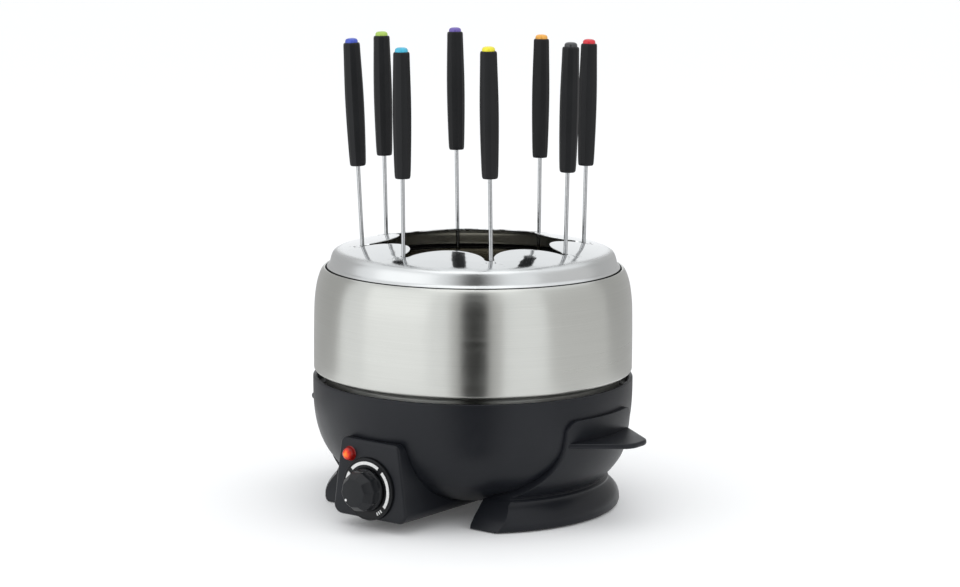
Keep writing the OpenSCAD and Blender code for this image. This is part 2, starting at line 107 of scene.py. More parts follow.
def lerp_table(rows, x):
    """Linear interpolation in rows of (x, value) with rising x."""
    for (x0, v0), (x1, v1) in zip(rows, rows[1:]):
        if x <= x1:
            return v0 + (v1 - v0) * max(0.0, x - x0) / (x1 - x0)
    return rows[-1][1]


# ------------------------------------------------------------------ meshes

def make_object(name, bm, sharp=32.0):
    """A new object from a bmesh, smooth shaded except at edges sharper than the angle in degrees."""
    bmesh.ops.recalc_face_normals(bm, faces=bm.faces)
    mesh = bpy.data.meshes.new(name)
    bm.to_mesh(mesh)
    bm.free()
    mesh.polygons.foreach_set("use_smooth", [True] * len(mesh.polygons))
    mesh.set_sharp_from_angle(angle=math.radians(sharp))
    piece = bpy.data.objects.new(name, mesh)
    bpy.context.collection.objects.link(piece)
    return piece


def grid_faces(bm, rows, wrap_rows=False, wrap_columns=False):
    """Quads between rows of vertices."""
    row_count = len(rows) if wrap_rows else len(rows) - 1
    for i in range(row_count):
        a, b = rows[i], rows[(i + 1) % len(rows)]
        column_count = len(a) if wrap_columns else len(a) - 1
        for j in range(column_count):
            k = (j + 1) % len(a)
            corners = []
            for v in (a[j], a[k], b[k], b[j]):
                if v not in corners:
                    corners.append(v)
            if len(corners) > 2:
                bm.faces.new(corners)


def lathe(name, outline, segments=96, closed=True, matrix=None, sharp=32.0):
    """An outline of (radius, height) in millimetres turned about the Z axis."""
    bm = bmesh.new()
    rows = []
    for r, z in outline:
        if r < 1e-6:
            rows.append([bm.verts.new((0, 0, z * MM))] * segments)
            continue
        turns = [TAU * k / segments for k in range(segments)]
        rows.append([bm.verts.new((r * MM * math.cos(a), r * MM * math.sin(a), z * MM)) for a in turns])
    grid_faces(bm, rows, wrap_rows=closed, wrap_columns=True)
    if matrix is not None:
        bm.transform(matrix)
    return make_object(name, bm, sharp)


def applied(piece):
    """The piece with its modifiers turned into mesh."""
    shown = piece.evaluated_get(bpy.context.evaluated_depsgraph_get())
    mesh = bpy.data.meshes.new_from_object(shown)
    piece.modifiers.clear()
    piece.data = mesh
    return piece


def carve(piece, *cutters):
    """The piece less the cutters, which are removed."""
    for cutter in cutters:
        cut = piece.modifiers.new("cut", "BOOLEAN")
        cut.operation = "DIFFERENCE"
        cut.solver = "EXACT"
        cut.object = cutter
    applied(piece)
    for cutter in cutters:
        bpy.data.objects.remove(cutter)
    return piece


def smooth_by_angle(piece, angle=32.0):
    piece.data.polygons.foreach_set("use_smooth", [True] * len(piece.data.polygons))
    piece.data.set_sharp_from_angle(angle=math.radians(angle))


def rounded(piece, width, segments=3, angle=50.0):
    """The piece with its sharp edges rounded."""
    edge = piece.modifiers.new("round", "BEVEL")
    edge.width = width * MM
    edge.segments = segments
    edge.limit_method = "ANGLE"
    edge.angle_limit = math.radians(angle)
    edge.harden_normals = False
    applied(piece)
    smooth_by_angle(piece)
    return piece


def joined(name, *pieces):
    """One object holding the meshes of several."""
    bm = bmesh.new()
    for piece in pieces:
        bm.from_mesh(piece.data)
        bpy.data.objects.remove(piece)
    return make_object(name, bm)


def finish_piece(piece, body, material, slot, *nodes):
    """Gives a piece its material, hangs it on its body's empty and hides the CAD nodes that it stands for."""
    piece.data.materials.clear()
    piece.data.materials.append(material)
    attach(piece, body)
    if nodes:
        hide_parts(*nodes)
    return piece


# ------------------------------------------------------------------ materials

class Shader:
    """A principled material with short ways to add the nodes that vary it."""

    def __init__(self, name, **settings):
        self.material = bpy.data.materials.new(name)
        self.material.use_nodes = True
        self.tree = self.material.node_tree
        self.surface = self.tree.nodes["Principled BSDF"]
        for socket, value in settings.items():
            self.surface.inputs[socket.replace("_", " ")].default_value = value

    def add(self, kind, **settings):
        node = self.tree.nodes.new(kind)
        for key, value in settings.items():
            setattr(node, key, value)
        return node

    def link(self, source, target):
        self.tree.links.new(source, target)

    def place(self):
        """The surface point in the row frame."""
        return self.add("ShaderNodeTexCoord").outputs["Object"]

    def maths(self, operation, a, b=None):
        node = self.add("ShaderNodeMath", operation=operation)
        for socket, value in zip(node.inputs, (a, b)):
            if isinstance(value, (int, float)):
                socket.default_value = value
            elif value is not None:
                self.link(value, socket)
        return node.outputs[0]

    def noise(self, vector, scale, detail=3.0, roughness=0.5):
        node = self.add("ShaderNodeTexNoise")
        node.inputs["Scale"].default_value = scale
        node.inputs["Detail"].default_value = detail
        node.inputs["Roughness"].default_value = roughness
        self.link(vector, node.inputs["Vector"])
        return node.outputs["Fac"]

    def spread(self, value, low, high, from_low=0.3, from_high=0.7):
        """A value brought from one range to another."""
        node = self.add("ShaderNodeMapRange")
        limits = {"From Min": from_low, "From Max": from_high, "To Min": low, "To Max": high}
        for key, number in limits.items():
            node.inputs[key].default_value = number
        self.link(value, node.inputs["Value"])
        return node.outputs["Result"]

    def tint(self, value, dark, light):
        """A colour between two, by a value from 0 to 1."""
        node = self.add("ShaderNodeMix", data_type="RGBA")
        node.inputs["A"].default_value = (*dark, 1)
        node.inputs["B"].default_value = (*light, 1)
        self.link(value, node.inputs["Factor"])
        self.link(node.outputs["Result"], self.surface.inputs["Base Color"])

    def bump(self, height, strength, distance):
        node = self.add("ShaderNodeBump")
        node.inputs["Strength"].default_value = strength
        node.inputs["Distance"].default_value = distance
        self.link(height, node.inputs["Height"])
        self.link(node.outputs["Normal"], self.surface.inputs["Normal"])

    def around(self, turn_scale, radial_scale, height_scale):
        """Coordinates that run round the Z axis, for marks left by turning or brushing."""
        parts = self.add("ShaderNodeSeparateXYZ")
        self.link(self.place(), parts.inputs[0])
        x, y, z = parts.outputs
        turn = self.maths("ARCTAN2", y, x)
        squares = self.maths("ADD", self.maths("MULTIPLY", x, x), self.maths("MULTIPLY", y, y))
        radius = self.maths("SQRT", squares)
        joined_up = self.add("ShaderNodeCombineXYZ")
        for k, (part, scale) in enumerate(((turn, turn_scale), (radius, radial_scale), (z, height_scale))):
            self.link(self.maths("MULTIPLY", part, scale), joined_up.inputs[k])
        return joined_up.outputs[0]


def moulded_plastic(name, dark, light, roughness, grain=0.05, gloss=0.27):
    """Black moulded plastic: spark-eroded grain, slow gloss changes and a trace of handling."""
    s = Shader(name, Roughness=roughness, Specular_IOR_Level=gloss)
    place = s.place()
    cloud = s.noise(place, 38.0, 4.0)
    s.tint(s.spread(cloud, 0, 1), dark, light)
    s.link(s.spread(cloud, roughness - 0.035, roughness + 0.045), s.surface.inputs["Roughness"])
    s.bump(s.noise(place, 2600.0, 2.0, 0.6), grain, 0.0002)
    return s.material


def turned_steel(name, dark, light, roughness, anisotropy, streak, grain):
    """Steel with fine lines that run round the pot's axis."""
    s = Shader(name, Metallic=1.0, Roughness=roughness, Anisotropic=anisotropy, Anisotropic_Rotation=0.25)
    lines = s.noise(s.around(1.6, 2600.0, 5200.0), 1.0, 4.0, 0.65)
    wide = s.noise(s.around(0.8, 120.0, 260.0), 1.0, 3.0)
    s.tint(s.spread(lines, 0, 1), dark, light)
    fine = s.spread(lines, -streak, streak)
    both = s.maths("ADD", fine, s.spread(wide, roughness - 0.03, roughness + 0.03))
    s.link(both, s.surface.inputs["Roughness"])
    s.bump(lines, grain, 0.00012)
    tangent = s.add("ShaderNodeTangent", direction_type="RADIAL", axis="Z")
    s.link(tangent.outputs[0], s.surface.inputs["Tangent"])
    return s.material


def plain_metal(name, dark, light, roughness, scale=300.0, grain=0.05):
    """Cast, rolled or plated metal with an even grain."""
    s = Shader(name, Metallic=1.0, Roughness=roughness)
    place = s.place()
    cloud = s.noise(place, scale, 4.0)
    s.tint(s.spread(cloud, 0, 1), dark, light)
    s.link(s.spread(cloud, roughness - 0.05, roughness + 0.06), s.surface.inputs["Roughness"])
    s.bump(cloud, grain, 0.0002)
    return s.material


def polished_steel(name):
    """Bright steel: mirror petals with a faint haze, and a satin turned finish on the outer crest."""
    s = Shader(name, Metallic=1.0, Roughness=0.09, Anisotropic=0.45, Anisotropic_Rotation=0.25)
    place = s.place()
    haze = s.noise(place, 24.0, 5.0)
    s.tint(s.spread(haze, 0, 1), (0.655, 0.67, 0.67), (0.71, 0.72, 0.72))
    parts = s.add("ShaderNodeSeparateXYZ")
    s.link(place, parts.inputs[0])
    x, y = parts.outputs[0], parts.outputs[1]
    radius = s.maths("SQRT", s.maths("ADD", s.maths("MULTIPLY", x, x), s.maths("MULTIPLY", y, y)))
    satin = s.spread(radius, 0.0, 0.23, 0.0835, 0.0885)
    s.link(s.maths("ADD", s.spread(haze, 0.05, 0.10), satin), s.surface.inputs["Roughness"])
    tangent = s.add("ShaderNodeTangent", direction_type="RADIAL", axis="Z")
    s.link(tangent.outputs[0], s.surface.inputs["Tangent"])
    s.bump(s.noise(place, 900.0, 2.0), 0.012, 0.0002)
    return s.material


def gloss_plastic(name, colour):
    """Coloured moulded cap, slightly darker in its slow swirls."""
    s = Shader(name, Roughness=0.28, Coat_Weight=0.25, Coat_Roughness=0.12)
    place = s.place()
    swirl = s.noise(place, 240.0, 2.0)
    s.tint(s.spread(swirl, 0, 1), tuple(c * 0.86 for c in colour), colour)
    s.link(s.spread(swirl, 0.24, 0.33), s.surface.inputs["Roughness"])
    s.bump(s.noise(place, 1800.0), 0.02, 0.0002)
    return s.material


def ceramic(name, dark, light):
    s = Shader(name, Roughness=0.6)
    place = s.place()
    speck = s.noise(place, 700.0, 4.0)
    s.tint(s.spread(speck, 0, 1), dark, light)
    s.bump(speck, 0.08, 0.0002)
    return s.material


def lamp_material(name, middle, radius):
    """Red lens lit from behind: orange where the neon sits, deep red at the edge."""
    s = Shader(name, Roughness=0.2, Specular_IOR_Level=0.35)
    offset = s.add("ShaderNodeVectorMath", operation="DISTANCE")
    s.link(s.place(), offset.inputs[0])
    offset.inputs[1].default_value = middle
    wobble = s.noise(s.place(), 420.0, 2.0)
    far = s.maths("ADD", s.maths("DIVIDE", offset.outputs["Value"], radius), s.spread(wobble, -0.12, 0.12))
    ramp = s.add("ShaderNodeValToRGB")
    stops = ramp.color_ramp.elements
    stops[0].position, stops[0].color = 0.12, (0.95, 0.20, 0.02, 1)
    stops[1].position, stops[1].color = 0.95, (0.16, 0.004, 0.003, 1)
    middle_stop = stops.new(0.55)
    middle_stop.color = (0.62, 0.022, 0.008, 1)
    s.link(far, ramp.inputs[0])
    s.link(ramp.outputs[0], s.surface.inputs["Base Color"])
    s.link(ramp.outputs[0], s.surface.inputs["Emission Color"])
    s.surface.inputs["Emission Strength"].default_value = 0.22
    return s.material


def print_material(name):
    s = Shader(name, Roughness=0.55)
    wear = s.noise(s.place(), 900.0, 3.0)
    s.tint(s.spread(wear, 0, 1), (0.70, 0.70, 0.69), (0.86, 0.86, 0.85))
    return s.material


CAP_COLOURS = {
    "yellow": (0.84, 0.75, 0.02), "grey": (0.035, 0.037, 0.04), "red": (0.66, 0.015, 0.03),
    "orange": (0.88, 0.42, 0.06), "purple": (0.15, 0.10, 0.42), "green": (0.42, 0.62, 0.10),
    "blue": (0.045, 0.09, 0.52), "turquoise": (0.05, 0.46, 0.66),
}
BASE_PLASTIC = moulded_plastic("base_plastic", (0.0068, 0.0078, 0.0108), (0.0090, 0.0102, 0.0136), 0.36)
DIAL_PLASTIC = moulded_plastic("dial_plastic", (0.005, 0.0055, 0.0068), (0.0068, 0.0074, 0.009), 0.44)
KNOB_PLASTIC = moulded_plastic("knob_plastic", (0.0064, 0.0072, 0.0088), (0.0084, 0.0094, 0.0114), 0.30)
HANDLE_PLASTIC = moulded_plastic(
    "handle_plastic", (0.0072, 0.0078, 0.0088), (0.0098, 0.0104, 0.0116), 0.44, 0.09, 0.24)
RUBBER = moulded_plastic("rubber_black", (0.012, 0.012, 0.012), (0.02, 0.02, 0.02), 0.75, 0.12)
POT_STEEL = turned_steel("pot_steel", (0.565, 0.57, 0.54), (0.625, 0.63, 0.60), 0.31, 0.92, 0.012, 0.015)
# Painted shadow: near-black metal for the pot's groove and the ring's foot, standing in for the shade in the
# seam between them
SEAM_PAINTED_SHADOW = plain_metal("seam_painted_shadow", (0.010, 0.010, 0.010), (0.022, 0.022, 0.021), 0.6)
# Painted shade: the pot's inside is steel made darker and browner than the outside, standing in for the shade
# in the cavity
POT_INSIDE_PAINTED_SHADE = turned_steel("pot_inside_painted_shade", (0.27, 0.255, 0.21), (0.36, 0.34, 0.29), 0.24, 0.6, 0.03, 0.05)
RING_STEEL = polished_steel("ring_steel")
FORK_STEEL = plain_metal("fork_steel", (0.46, 0.47, 0.48), (0.56, 0.57, 0.58), 0.16, 500.0, 0.02)
REFLECTOR = turned_steel("reflector", (0.60, 0.60, 0.60), (0.72, 0.72, 0.72), 0.22, 0.4, 0.04, 0.06)
CAST_PLATE = plain_metal("cast_plate", (0.20, 0.20, 0.205), (0.30, 0.30, 0.31), 0.5, 420.0, 0.2)
DISC = turned_steel("disc_aluminium", (0.48, 0.48, 0.48), (0.60, 0.60, 0.60), 0.36, 0.5, 0.06, 0.14)
ELEMENT = plain_metal("element_steel", (0.14, 0.12, 0.11), (0.26, 0.23, 0.21), 0.5, 260.0, 0.12)
SCREW_STEEL = plain_metal("screw_steel", (0.50, 0.50, 0.52), (0.66, 0.66, 0.68), 0.3, 800.0, 0.05)
CERAMIC = ceramic("ceramic_white", (0.62, 0.59, 0.52), (0.74, 0.71, 0.64))
PRINT = print_material("print_white")
NEON = ceramic("neon_glass", (0.72, 0.35, 0.14), (0.86, 0.46, 0.20))
lamp_low, lamp_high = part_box("lamp_lens")
LAMP = lamp_material(
    "lamp_red", ((lamp_low.x + lamp_high.x) / 2, lamp_low.y, (lamp_low.z + lamp_high.z) / 2),
    (lamp_high.x - lamp_low.x) / 2)
MATERIALS = {
    "base_plastic": BASE_PLASTIC, "dial_plastic": DIAL_PLASTIC, "knob_plastic": KNOB_PLASTIC,
    "handle_plastic": HANDLE_PLASTIC, "rubber_black": RUBBER, "pot_steel": POT_STEEL,
    "ring_steel": RING_STEEL, "fork_steel": FORK_STEEL, "reflector": REFLECTOR, "cast_plate": CAST_PLATE,
    "disc_aluminium": DISC, "element_steel": ELEMENT, "screw_steel": SCREW_STEEL,
    "ceramic_white": CERAMIC, "print_white": PRINT, "neon_glass": NEON, "lamp_red": LAMP,
    **{f"cap_{name}": gloss_plastic(f"cap_{name}", colour) for name, colour in CAP_COLOURS.items()},
}


def dress_cad_nodes():
    """Gives every CAD node the material of its slot in the record."""
    for part in frame["record"]["subparts"]:
        node = NODES[part["node"]]
        for slot_of in node.material_slots:
            slot_of.link = "OBJECT"
            slot_of.material = MATERIALS[part["material_slot"]]


# ------------------------------------------------------------------ base

RIM_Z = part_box("base_bowl")[1].z / MM - 1.0
BASE_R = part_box("base_bowl")[1].x / MM
BOWL_DEPTH = RIM_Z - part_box("base_bowl")[0].z / MM
BOWL_WALL = 2.5


def bowl_line(radius, depth, top_z, steps=48):
    """Outline of the bowl's round face from the middle of its underside up to a height."""
    line = []
    for i in range(steps + 1):
        a = math.pi / 2 * i / steps
        p = Vector((radius * math.sin(a) ** (2 / 3), RIM_Z - depth * math.cos(a) ** (2 / 3)))
        if p.y < top_z:
            line.append(p)
    return line


def bowl_solid(extra):
    """The bowl's outer form as one solid, grown by some millimetres, for carving its neighbours."""
    line = bowl_line(BASE_R + extra, BOWL_DEPTH + extra * 0.3, RIM_Z + 1)
    return lathe("bowl_solid", [*line, Vector((0, RIM_Z))], 144)


def build_bowl():
    """The plastic bowl with its rolled rim and the ledge inside it."""
    lip = arc(BASE_R - 1.1, RIM_Z - 0.1, 1.1, 0, 90, 5)
    ledge = [Vector(p) for p in ((BASE_R - 2.5, RIM_Z + 0.6), (BASE_R - 3.0, RIM_Z - 0.4),
                                 (BASE_R - 3.0, 76.4), (98.9, 75.5), (98.4, 75.1), (98.4, 73.4))]
    inner = bowl_line(BASE_R - BOWL_WALL, BOWL_DEPTH - BOWL_WALL, 70)[::-1]
    outline = [*bowl_line(BASE_R, BOWL_DEPTH, RIM_Z - 1.2), *lip, *ledge, *inner]
    outline[-1] = Vector((0, RIM_Z - BOWL_DEPTH + BOWL_WALL))
    bowl = lathe("bowl", outline, 192, closed=False)
    gland = centre("cord_gland")
    bore = lathe("bore", [(0, -30), (6.4, -30), (6.4, 30), (0, 30)], 48,
                 matrix=Matrix.Translation((0, gland.y, gland.z)) @ Matrix.Rotation(math.pi / 2, 4, "X"))
    carve(bowl, bore)
    smooth_by_angle(bowl)
    finish_piece(bowl, "base", BASE_PLASTIC, "base_plastic", "base_bowl")


# ------------------------------------------------------------------ control housing

PANEL_LOW, PANEL_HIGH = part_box("control_housing")


def panel_ring(inset, corner_grow=0.0):
    """Rounded trapezium of the housing's front, in X and Z in millimetres, drawn in by an inset."""
    top_w, bottom_w = 23.4 - inset, 28.9 - inset
    top_z, bottom_z = PANEL_HIGH.z / MM - inset, PANEL_LOW.z / MM + inset
    top_r, bottom_r = max(1.0, 4.0 - inset + corner_grow), max(1.0, 6.0 - inset + corner_grow)
    return [
        *arc(bottom_w - bottom_r, bottom_z + bottom_r, bottom_r, -90, -4, 7),
        *arc(top_w - top_r - 0.1, top_z - top_r, top_r, 6, 90, 7),
        *arc(-top_w + top_r + 0.1, top_z - top_r, top_r, 90, 174, 7),
        *arc(-bottom_w + bottom_r, bottom_z + bottom_r, bottom_r, 184, 270, 7),
    ]


def build_housing():
    """The control housing: a rounded block let into the bowl, with a shadow gap where they meet."""
    front, back, edge = PANEL_LOW.y / MM, PANEL_HIGH.y / MM, 1.7
    bm = bmesh.new()
    rows = []
    for i in range(6):
        a = math.pi / 2 * i / 5
        ring = panel_ring(edge * (1 - math.sin(a)))
        y = front + edge * (1 - math.cos(a))
        rows.append([bm.verts.new((p.x * MM, y * MM, p.y * MM)) for p in ring])
    rows.append([bm.verts.new((p.x * MM, back * MM, p.y * MM)) for p in panel_ring(0)])
    grid_faces(bm, rows, wrap_columns=True)
    bm.faces.new(rows[0])
    bm.faces.new(rows[-1][::-1])
    housing = make_object("housing", bm, 40)
    dial = centre("dial_disc")
    seat = lathe("seat", [(0, -0.7), (20.3, -0.7), (20.3, 6), (0, 6)], 96,
                 matrix=Matrix.Translation((0, front * MM, dial.z)) @ Matrix.Rotation(math.pi / 2, 4, "X"))
    carve(housing, bowl_solid(0.55), seat)
    smooth_by_angle(housing, 40)
    finish_piece(housing, "base", BASE_PLASTIC, "base_plastic", "control_housing")


def facing_matrix(node, y):
    """Turns a piece made along +Z to face -Y at a node's middle, with its foot at y."""
    middle = centre(node)
    return Matrix.Translation((middle.x, y, middle.z)) @ Matrix.Rotation(math.pi / 2, 4, "X")


def build_dial():
    """The dial's disc: a raised bezel, a flat scale face and a sunk well round the knob."""
    radius = size("dial_disc").x / 2 / MM
    height = -(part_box("dial_disc")[0].y - PANEL_LOW.y) / MM
    outline = [
        Vector((4.5, -0.6)), Vector((radius, -0.6)), *arc(radius - 0.5, height - 0.5, 0.5, 0, 90, 4),
        *arc(radius - 0.95, height - 0.3, 0.3, 90, 180, 3), Vector((radius - 1.25, height - 0.05)),
        Vector((14.3, height - 0.05)), *arc(14.0, height - 0.35, 0.3, 90, 180, 3),
        Vector((13.7, height - 1.2)), Vector((4.5, height - 1.2)),
    ]
    disc = lathe("dial", outline, 128, matrix=facing_matrix("dial_disc", PANEL_LOW.y))
    finish_piece(disc, "base", DIAL_PLASTIC, "dial_plastic", "dial_disc")


def build_knob():
    """The knob: a round skirt, then ten cut facets that lean in to a flat front."""
    low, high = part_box("knob")
    depth, radius = (high.y - low.y) / MM, (high.x - low.x) / 2 / MM
    facets, columns = 10, 120
    pointer = math.radians(222)
    bm = bmesh.new()
    # height share, radius share, how far the round has turned into facets
    rows_of = [(0.0, 0.955, 0.0), (0.03, 0.99, 0.0), (0.07, 1.0, 0.0), (0.14, 0.99, 0.0), (0.17, 0.975, 0.3),
               (0.2, 0.965, 1.0), (0.4, 0.955, 1.0), (0.58, 0.945, 1.0), (0.6, 0.94, 1.0), (0.62, 0.93, 1.0),
               (0.93, 0.70, 1.0), (0.955, 0.675, 1.0), (0.97, 0.64, 1.0), (0.985, 0.40, 0.8),
               (0.998, 0.2, 0.2)]
    rows = []
    for up, out, faceted in rows_of:
        row = []
        for k in range(columns):
            a = TAU * k / columns + pointer
            across = math.fmod(TAU * k / columns, TAU / facets) - math.pi / facets
            flat = math.cos(math.pi / facets) / math.cos(across)
            r = radius * out * (1 + faceted * (min(1.0, flat * 1.006) - 1))
            row.append(bm.verts.new((r * MM * math.cos(a), r * MM * math.sin(a), up * depth * MM)))
        rows.append(row)
    grid_faces(bm, rows, wrap_columns=True)
    tip = bm.verts.new((0, 0, depth * MM))
    for k in range(columns):
        bm.faces.new((rows[-1][k], rows[-1][(k + 1) % columns], tip))
    bm.faces.new(rows[0][::-1])
    bm.transform(facing_matrix("knob", high.y))
    knob = make_object("knob_grip", bm, 14)
    at = Matrix.Rotation(pointer, 4, "Z") @ Vector((radius * 0.55 * MM, 0, depth * 0.975 * MM))
    dot = lathe("knob_dot", [(0, -0.6), (0.8, -0.6), (0.8, 0.06), (0.55, 0.16), (0, 0.18)], 32,
                matrix=facing_matrix("knob", high.y) @ Matrix.Translation(at))
    finish_piece(knob, "knob", KNOB_PLASTIC, "knob_plastic", "knob")
    finish_piece(dot, "knob", PRINT, "print_white")


# ------------------------------------------------------------------ handle-feet

FOOT_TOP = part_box("handle_foot_right")[1].z / MM
FOOT_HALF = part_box("handle_foot_right")[1].y / MM
SHIELD_HALF = 34.4
PLATE_TOP = 56.2
PLATE_T = 3.4
SHIELD_R = BASE_R + 2.6
SHIELD_DEPTH = 81.4
CREASE_Z = 19.8
# Outer outline under the crease: a ridge, a soft groove, then the flare to the table
SKIRT = [(0.6, 94.6), (1.4, 95.7), (3.0, 96.3), (6.0, 96.2), (8.0, 95.6), (10.0, 94.7), (12.0, 93.3),
         (13.8, 91.9), (15.2, 90.5), (16.4, 89.3), (17.2, 88.9), (18.0, 88.9), (18.8, 88.2), (19.3, 87.3),
         (19.8, 87.6)]
FOOT_INNER = [(0.6, 82.0), (6.0, 80.0), (12.0, 77.0), (18.6, 73.0), (30.0, 70.0), (76.0, 95.0)]


def foot_outer(z):
    if z >= CREASE_Z + 0.6:
        return bulge(RIM_Z - z, SHIELD_R, SHIELD_DEPTH)
    return lerp_table([*SKIRT, (CREASE_Z + 0.6, bulge(RIM_Z - CREASE_Z - 0.6, SHIELD_R, SHIELD_DEPTH))], z)


def foot_inner(z):
    return max(lerp_table(FOOT_INNER, z), bulge(RIM_Z - z, BASE_R + 0.08, BOWL_DEPTH))


def foot_half(z):
    """Half length of the foot at a height: the shield, easing out to the full foot below the plate."""
    low = PLATE_TOP - PLATE_T
    if z > FOOT_TOP - 8:
        return SHIELD_HALF - 8 + math.sqrt(max(0.0, 64 - (z - FOOT_TOP + 8) ** 2))
    if z > low:
        return SHIELD_HALF
    t = (z / low) ** 0.8
    return FOOT_HALF - (FOOT_HALF - SHIELD_HALF) * t * t * (3 - 2 * t)


def foot_levels():
    """Heights of the rows of the foot's grid, closer at the crease, the corners and the table."""
    skirt = [z for z, _ in SKIRT]
    shell = [CREASE_Z + 0.6 + (FOOT_TOP - 8 - CREASE_Z - 0.6) * i / 30 for i in range(31)]
    corner = [FOOT_TOP - 8 + 8 * math.sin(math.pi / 2 * i / 8) for i in range(1, 9)]
    return [*skirt, *shell, *corner]


def build_foot_shell(name):
    """Shield, shell and flared skirt as one closed sheet on +X."""
    columns = 56
    bm = bmesh.new()
    rows = []
    for z in foot_levels():
        half, outer, inner = foot_half(z), foot_outer(z), foot_inner(z)
        outside, inside = [], []
        for k in range(columns + 1):
            y = half * (2 * k / columns - 1)
            outside.append(bm.verts.new((math.sqrt(max(0.0, outer ** 2 - y * y)) * MM, y * MM, z * MM)))
            inside.append(bm.verts.new((math.sqrt(max(0.0, inner ** 2 - y * y)) * MM, y * MM, z * MM)))
        rows.append([*outside, *inside[::-1]])
    grid_faces(bm, rows, wrap_columns=True)
    for row in (rows[0], rows[-1]):
        for k in range(columns):
            bm.faces.new((row[k], row[k + 1], row[-2 - k], row[-1 - k]))
    return rounded(make_object(name, bm), 1.1, 3, 52)


def build_plate(name):
    """The grip plate: sides closing in to round corners, with a full edge all round."""
    corner, tip, reach = 12.0, 15.0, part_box("handle_foot_right")[1].x / MM
    outline = [
        Vector((98, -SHIELD_HALF)), *arc(reach - corner, -tip + corner, corner, -53, 0, 10),
        *arc(reach - corner, tip - corner, corner, 0, 53, 10), Vector((98, SHIELD_HALF)),
    ]
    bm = bmesh.new()
    rows = [[bm.verts.new((p.x * MM, p.y * MM, z * MM)) for p in outline]
            for z in (PLATE_TOP - PLATE_T, PLATE_TOP)]
    grid_faces(bm, rows, wrap_columns=True)
    bm.faces.new(rows[0][::-1])
    bm.faces.new(rows[1])
    plate = make_object(name, bm)
    return carve(rounded(plate, 1.3, 4, 50), bowl_solid(0.3))


def build_feet():
    for side, turn in (("right", 0.0), ("left", math.pi)):
        foot = joined(f"foot_{side}", build_foot_shell("shell"), build_plate("plate"))
        foot.data.transform(Matrix.Rotation(turn, 4, "Z"))
        finish_piece(foot, "base", BASE_PLASTIC, "base_plastic", f"handle_foot_{side}")


# ------------------------------------------------------------------ pot

def build_pot():
    """The pot: one drawn sheet from its floor to the curled rim."""
    low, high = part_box("pot_body")
    r, floor, rim, wall, step = high.x / MM, low.z / MM, high.z / MM, 1.0, 95.4
    line = [Vector((0, floor)), Vector((40, floor)), *arc(step - 8, floor + 8, 8, -90, 0, 10)]
    line += [Vector((step, 84.4)), *arc(step + 3, 84.4, 3, 180, 90, 6)]
    line += [Vector((r - 2.9, 87.45)), *arc(r - 2.3, 89.9, 2.3, -75, -8, 8)]
    line += smooth_line([
        (r, 97.2), (r - 0.1, 115), (r - 0.4, 129.8), (r - 1, 137.5), (r - 2.1, 144.5), (r - 3.5, 149.4),
        (r - 4.9, 152.6), (r - 6, rim - 0.5), (r - 6.9, rim), (r - 7.6, rim - 0.5), (r - 7.9, rim - 1.4),
        (r - 8.6, rim - 1.55), (r - 12.5, rim - 1.6)], 6)
    outline = [*line, *offset_line(line, wall)[::-1]]
    outline[-1] = Vector((0, floor + wall))
    pot = lathe("pot", outline, 256, closed=False, sharp=40)
    finish_piece(pot, "pot", POT_STEEL, "pot_steel", "pot_body")
    # slot 1 is the darker inside, painted shade of the cavity; slot 2 is near-black painted shadow in the
    # groove that the ring's foot sits in
    pot.data.materials.append(POT_INSIDE_PAINTED_SHADE)
    pot.data.materials.append(SEAM_PAINTED_SHADOW)
    seat_r, lip_r = (r - 13) * MM, (r - 7.2) * MM
    groove_z, lip_z, floor_z = (rim - 2) * MM, (rim - 0.25) * MM, (floor + 10) * MM
    for face in pot.data.polygons:
        at, normal = face.center, face.normal
        inward = normal.x * at.x + normal.y * at.y < 0
        # groove faces get the near-black painted shadow of the seam
        if seat_r < math.hypot(at.x, at.y) < lip_r and groove_z < at.z < lip_z:
            face.material_index = 2
        # inward faces below the groove and the floor's top get the darker steel: painted shade of the cavity
        elif (inward and at.z < groove_z) or (normal.z > 0.6 and at.z < floor_z):
            face.material_index = 1


# ------------------------------------------------------------------ fork ring

NOTCH_R = 73.9
NOTCH_W = 6.4
LOBE_AT = 78.0
LOBE_R = 27.0
# Radius where the ring's crest meets its deck, and height of its foot in the pot's groove, up to which the
# foot is painted near-black as the seam's shadow
CREST_R = 86.0
SEAM_H = 1.5


def petal_edge():
    """Edge of half a petal from its tip to the middle of a notch, as (angle from its middle, radius)."""
    end_r = NOTCH_R - NOTCH_W / 2
    pitch = math.pi / 8
    points = []
    for i in range(28):
        a = math.radians(180 - 78 * i / 27)
        p = Vector((LOBE_AT + LOBE_R * math.cos(a), LOBE_R * math.sin(a)))
        turn, radius = math.atan2(p.y, p.x), p.length
        if radius * math.sin(pitch - turn) > NOTCH_W / 2:
            points.append((turn, radius))
    for radius in (end_r - 1.6, end_r - 0.8):
        if radius > points[-1][1]:
            points.append((pitch - math.asin(NOTCH_W / 2 / radius), radius))
    for i in range(9):
        a = math.radians(90 - 90 * i / 8)
        p = Vector((end_r + NOTCH_W / 2 * math.cos(a), NOTCH_W / 2 * math.sin(a)))
        points.append((pitch - math.atan2(p.y, p.x), p.length))
    return points


